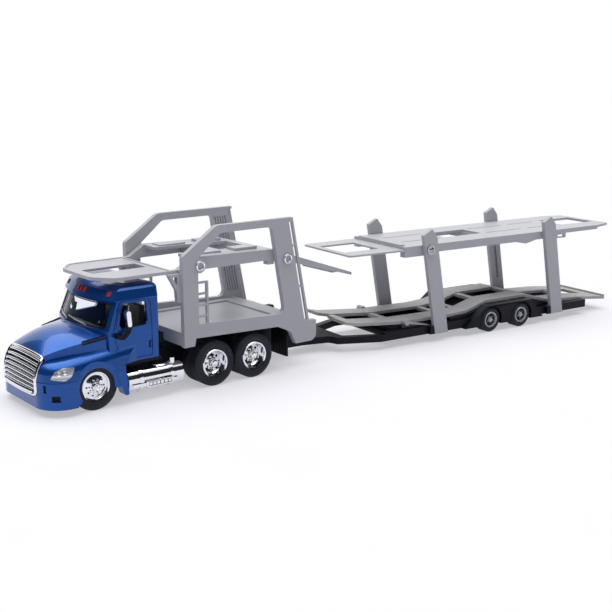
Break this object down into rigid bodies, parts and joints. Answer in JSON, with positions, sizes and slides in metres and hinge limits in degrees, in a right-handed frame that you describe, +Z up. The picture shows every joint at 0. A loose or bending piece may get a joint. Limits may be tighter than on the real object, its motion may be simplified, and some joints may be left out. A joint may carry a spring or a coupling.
{
  "type": "toy car transporter truck with hinged trailer",
  "caption": "Die-cast style toy car carrier: blue day-cab tractor with a grey headrack and ramp, hinged to a black-framed two-deck trailer whose upper deck tilts",
  "frame": {"origin": "On the floor under the hitch pin between tractor and trailer.", "axes": "+X forward towards the cab, +Y to the tractor's left, +Z up from the floor. The trailer stands turned 5.5 degrees about the hitch, as in the picture."},
  "size_m": [0.4074, 0.0789, 0.084],
  "materials": {
    "blue_paint": "glossy metallic blue enamel on a die-cast body",
    "chrome": "vacuum-plated plastic, bright",
    "lamp_lens": "clear lens over silver",
    "window": "clear moulded window",
    "black_plastic": "satin black moulding",
    "red_lamp": "red paint on small lamps",
    "grey_plastic": "satin grey moulding",
    "silver_plastic": "silver grey moulding",
    "steel": "bright steel pin",
    "tyre": "soft black tyre"
  },
  "bodies": {
    "tractor": {"cab_body": "blue_paint", "front_bumper": "blue_paint", "grille": "chrome", "headlamps": "lamp_lens", "cab_glass": "window", "cab_interior": "black_plastic", "marker_lamps": "red_lamp", "mirrors": "silver_plastic", "mirror_arms": "black_plastic", "tractor_chassis": "black_plastic", "fuel_tanks": "chrome", "mudflaps": "black_plastic", "rack_frame_left": "grey_plastic", "rack_frame_right": "grey_plastic", "rack_floor": "grey_plastic", "rack_pins": "steel", "deck_gussets": "grey_plastic", "tractor_deck": "grey_plastic", "hitch_pin": "steel"},
    "ramp": {"tractor_ramp": "grey_plastic"},
    "trailer": {"trailer_chassis": "black_plastic", "trailer_posts": "grey_plastic", "tilt_screws": "steel", "lower_deck": "grey_plastic"},
    "trailer_upper": {"upper_deck": "grey_plastic", "deck_flap": "grey_plastic"},
    "front_wheels": {"front_axle_pin": "steel", "front_axle_rims": "chrome", "front_axle_tyres": "tyre"},
    "drive_wheels_1": {"drive_axle_1_pin": "steel", "drive_axle_1_rims": "chrome", "drive_axle_1_tyres": "tyre"},
    "drive_wheels_2": {"drive_axle_2_pin": "steel", "drive_axle_2_rims": "chrome", "drive_axle_2_tyres": "tyre"},
    "trailer_wheels_1": {"trailer_axle_1_pin": "steel", "trailer_axle_1_rims": "silver_plastic", "trailer_axle_1_tyres": "tyre"},
    "trailer_wheels_2": {"trailer_axle_2_pin": "steel", "trailer_axle_2_rims": "silver_plastic", "trailer_axle_2_tyres": "tyre"}
  },
  "joints": [
    {"name": "front_axle_spin", "type": "hinge", "parent": "tractor", "child": "front_wheels", "pos_m": [0.1275, 0, 0.012], "axis": [0, 1, 0], "continuous": true},
    {"name": "drive_axle_1_spin", "type": "hinge", "parent": "tractor", "child": "drive_wheels_1", "pos_m": [0.06, 0, 0.012], "axis": [0, 1, 0], "continuous": true},
    {"name": "drive_axle_2_spin", "type": "hinge", "parent": "tractor", "child": "drive_wheels_2", "pos_m": [0.035, 0, 0.012], "axis": [0, 1, 0], "continuous": true},
    {"name": "trailer_axle_1_spin", "type": "hinge", "parent": "trailer", "child": "trailer_wheels_1", "pos_m": [-0.14075, 0.01355, 0.0078], "axis": [0.0958, 0.9954, 0], "continuous": true},
    {"name": "trailer_axle_2_spin", "type": "hinge", "parent": "trailer", "child": "trailer_wheels_2", "pos_m": [-0.16623, 0.01601, 0.0078], "axis": [0.0958, 0.9954, 0], "continuous": true},
    {"name": "trailer_hitch", "type": "hinge", "parent": "tractor", "child": "trailer", "pos_m": [0, 0, 0.007], "axis": [0, 0, 1], "range_deg": [-54.5, 65.5]},
    {"name": "upper_deck_tilt", "type": "hinge", "parent": "trailer", "child": "trailer_upper", "pos_m": [-0.09038, 0.0087, 0.0567], "axis": [-0.0958, -0.9954, 0], "range_deg": [0, 13.5]},
    {"name": "ramp_tilt", "type": "hinge", "parent": "tractor", "child": "ramp", "pos_m": [0.0136, 0, 0.0621], "axis": [0, 1, 0], "range_deg": [-12, 5]}
  ]
}
